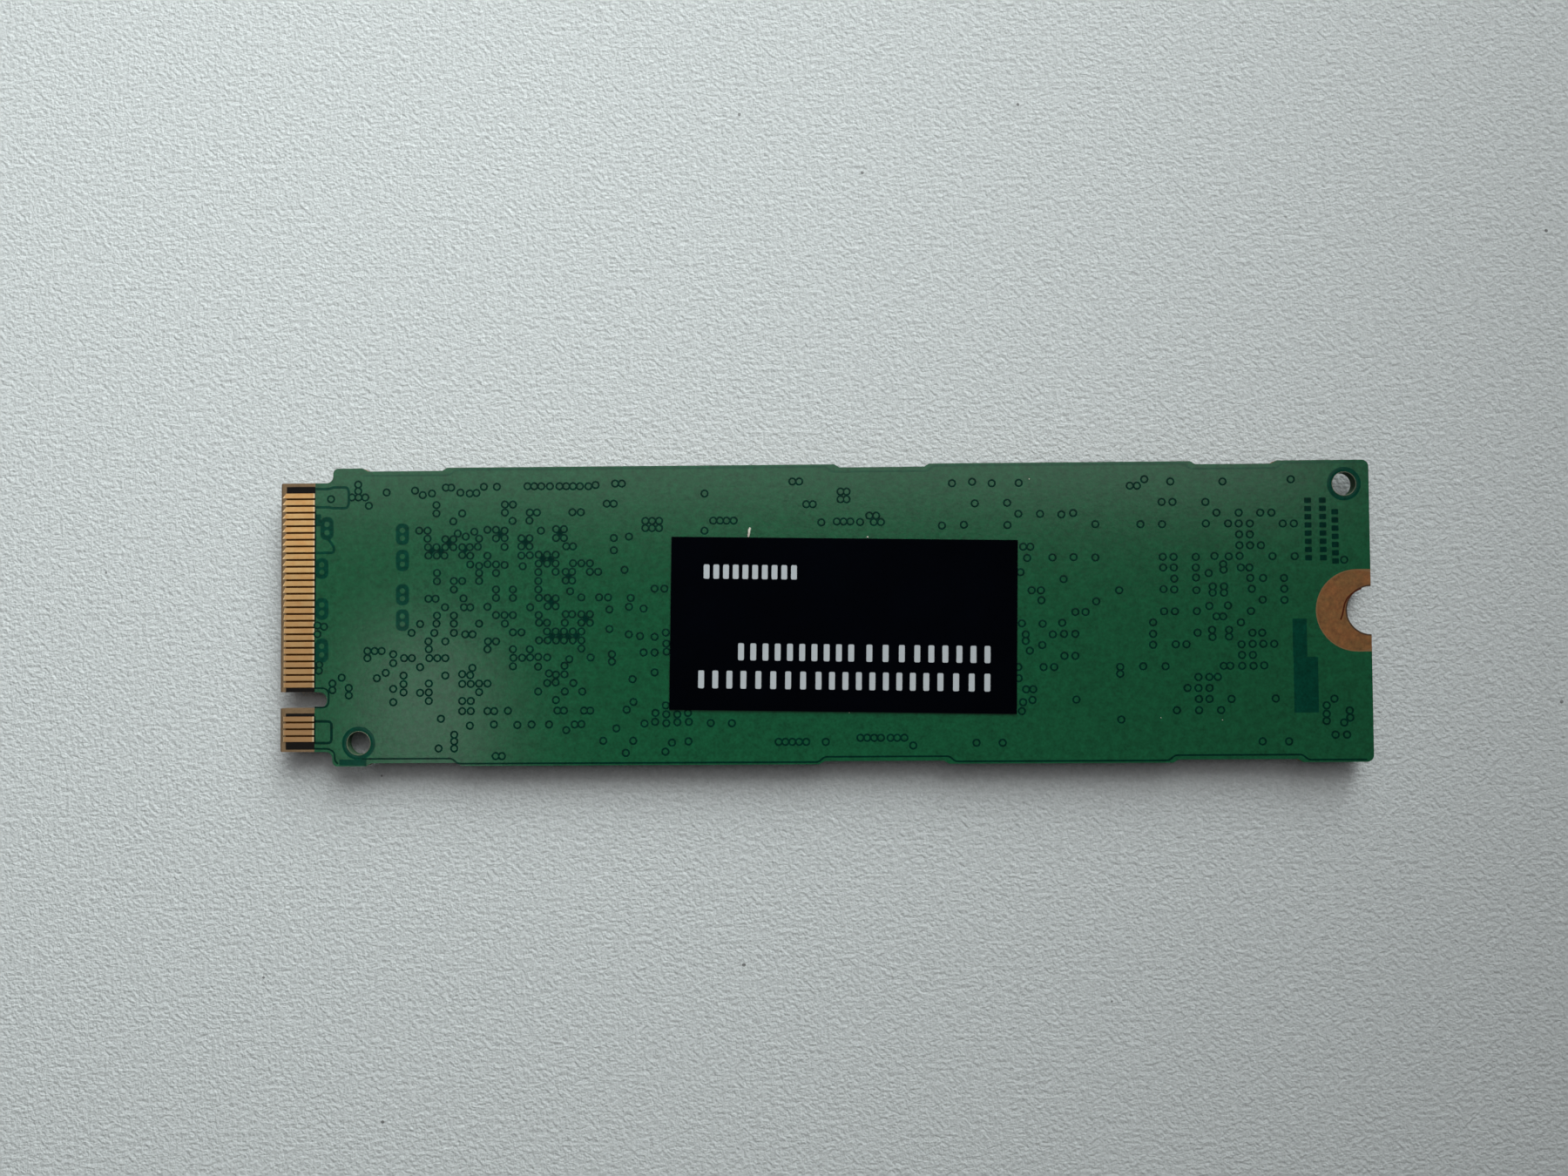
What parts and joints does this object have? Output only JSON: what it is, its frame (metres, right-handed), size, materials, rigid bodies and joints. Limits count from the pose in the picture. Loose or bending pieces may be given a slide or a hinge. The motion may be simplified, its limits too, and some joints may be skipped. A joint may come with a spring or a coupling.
{
  "type": "m.2 solid state drive",
  "caption": "Slim storage card: keyed gold edge contacts at one end, half-round screw notch at the other, soldered chips on one face and a plain sticker on the other.",
  "frame": {"origin": "middle of the footprint, on the surface that the card lies on", "axes": "+X from the edge connector to the screw notch, +Z out of the back with the sticker"},
  "size_m": [0.08, 0.022, 0.0021],
  "materials": {
    "laminate": "glass-fibre laminate, cut edge",
    "solder_mask": "semi-gloss green film",
    "gold": "gold plated",
    "copper": "dull bare copper",
    "sticker": "satin black film",
    "chip_mould": "matt moulding compound",
    "chip_substrate": "green laminate edge",
    "solder": "tinned",
    "inductor_block": "pressed iron powder, matt",
    "capacitor_ceramic": "tan ceramic",
    "resistor_body": "black glazed film on ceramic",
    "white_ceramic": "fired ceramic",
    "crystal_metal": "nickel lid"
  },
  "bodies": {
    "root": {"circuit_board": "laminate", "solder_mask_back": "solder_mask", "solder_mask_front": "solder_mask", "edge_contacts_back": "gold", "edge_contacts_front": "gold", "screw_pad_back": "copper", "screw_pad_front": "copper", "label": "sticker", "controller": "chip_mould", "memory_chip": "chip_mould", "flash_chip_1": "chip_mould", "flash_chip_2": "chip_mould", "power_chip": "chip_mould", "voltage_regulator": "chip_mould", "controller_substrate": "chip_substrate", "memory_chip_substrate": "chip_substrate", "flash_chip_1_substrate": "chip_substrate", "flash_chip_2_substrate": "chip_substrate", "controller_solder_balls": "solder", "memory_chip_solder_balls": "solder", "flash_chip_1_solder_balls": "solder", "flash_chip_2_solder_balls": "solder", "power_chip_lands": "solder", "voltage_regulator_lands": "solder", "power_inductors": "inductor_block", "inductor_terminals": "solder", "bulk_capacitors": "capacitor_ceramic", "decoupling_capacitors": "capacitor_ceramic", "coupling_capacitors": "capacitor_ceramic", "bulk_capacitor_end_caps": "solder", "decoupling_capacitor_end_caps": "solder", "coupling_capacitor_end_caps": "solder", "resistors": "resistor_body", "resistor_end_caps": "solder", "crystal_base": "white_ceramic", "crystal_lid": "crystal_metal"}
  },
  "joints": []
}
